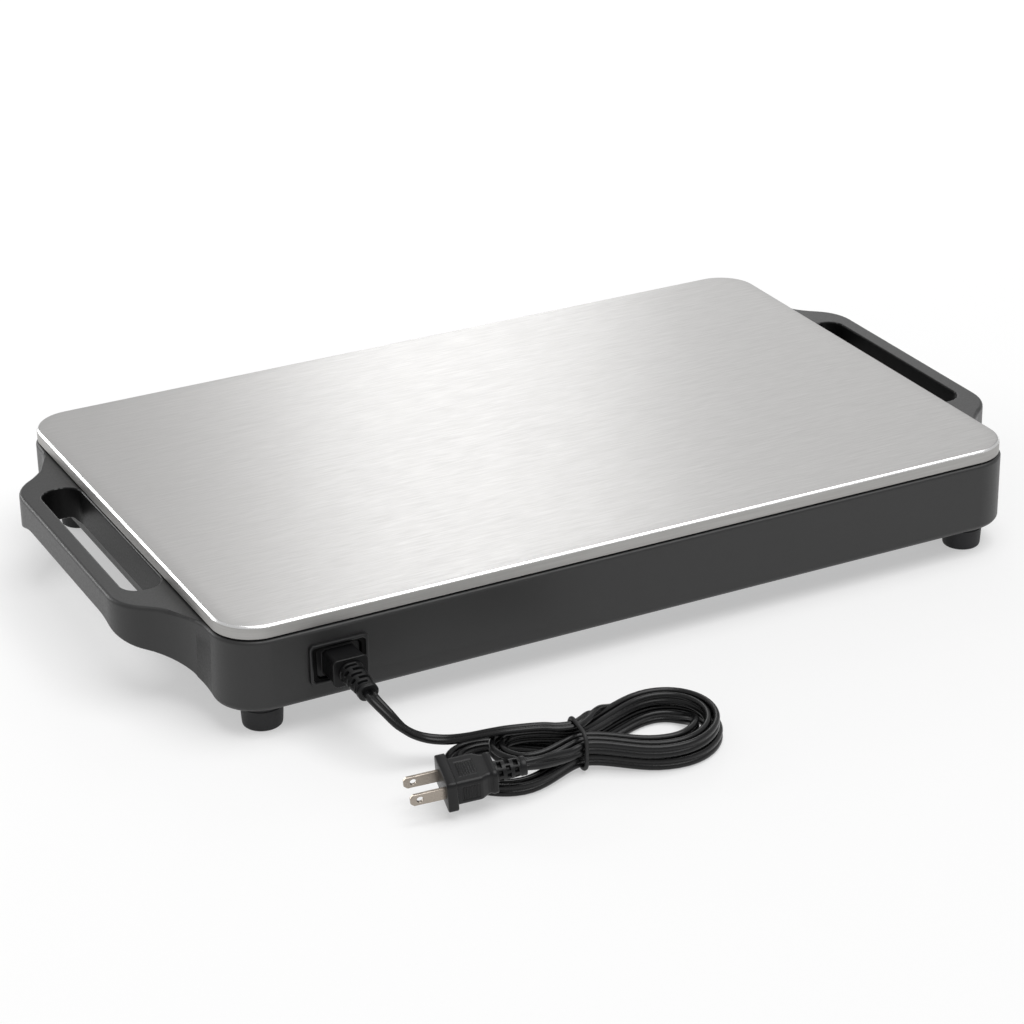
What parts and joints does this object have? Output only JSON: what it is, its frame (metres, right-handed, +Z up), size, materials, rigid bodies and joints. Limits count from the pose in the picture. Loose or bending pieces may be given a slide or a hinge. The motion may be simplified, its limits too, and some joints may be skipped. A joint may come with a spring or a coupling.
{
  "type": "electric food warming tray",
  "caption": "Flat electric warming tray: brushed steel deck on a moulded housing with a slotted handle at each end, four rubber feet, side inlet, plug-in cord tied in a hank.",
  "frame": {"origin": "middle of the tray's footprint, on the surface that the feet stand on", "axes": "+X along the long side with the handles at both ends, +Y away from the inlet side, +Z up"},
  "size_m": [0.512, 0.4134, 0.0603],
  "materials": {
    "deck_steel": "brushed along the length",
    "housing_plastic": "fine matte texture",
    "seal_rubber": "matte",
    "foot_rubber": "matte",
    "spreader_alu": "mill finish",
    "element_sheath": "heat-darkened sheath",
    "zinc_steel": "zinc plated",
    "ceramic_white": "unglazed",
    "fibre_blanket": "fibrous",
    "inlet_plastic": "satin",
    "brass": "plain",
    "nickel": "nickel plated, satin",
    "cord_black": "satin",
    "wire_brown": "satin",
    "wire_white": "satin"
  },
  "bodies": {
    "tray": {"top_plate": "deck_steel", "deck_seal": "seal_rubber", "heat_spreader": "spreader_alu", "heating_element": "element_sheath", "element_terminals": "ceramic_white", "element_straps": "zinc_steel", "insulation_blanket": "fibre_blanket", "heat_shield": "zinc_steel", "shield_screws": "zinc_steel", "deck_studs": "zinc_steel", "deck_nuts": "zinc_steel", "thermostat": "zinc_steel", "thermal_fuse": "ceramic_white", "terminal_block": "ceramic_white", "live_wire": "wire_brown", "neutral_wire": "wire_white", "feed_wire": "wire_brown", "fuse_wire": "wire_brown", "element_wire": "wire_brown", "inlet_body": "inlet_plastic", "inlet_pins": "nickel", "base_shell": "housing_plastic", "bottom_cover": "zinc_steel", "cover_screws": "zinc_steel", "foot_front_left": "foot_rubber", "foot_front_right": "foot_rubber", "foot_rear_left": "foot_rubber", "foot_rear_right": "foot_rubber", "foot_screws": "zinc_steel"},
    "cord_set": {"connector_body": "cord_black", "connector_contacts": "brass", "connector_sleeve": "cord_black", "cord_lead": "cord_black", "cord_hank": "cord_black", "cord_tail": "cord_black", "cord_tie": "cord_black", "plug_body": "cord_black", "plug_blades": "nickel", "plug_sleeve": "cord_black"}
  },
  "joints": [
    {"name": "connector_pull", "type": "slide", "parent": "tray", "child": "cord_set", "axis": [0, -1, 0], "range_m": [0, 0.04]}
  ]
}
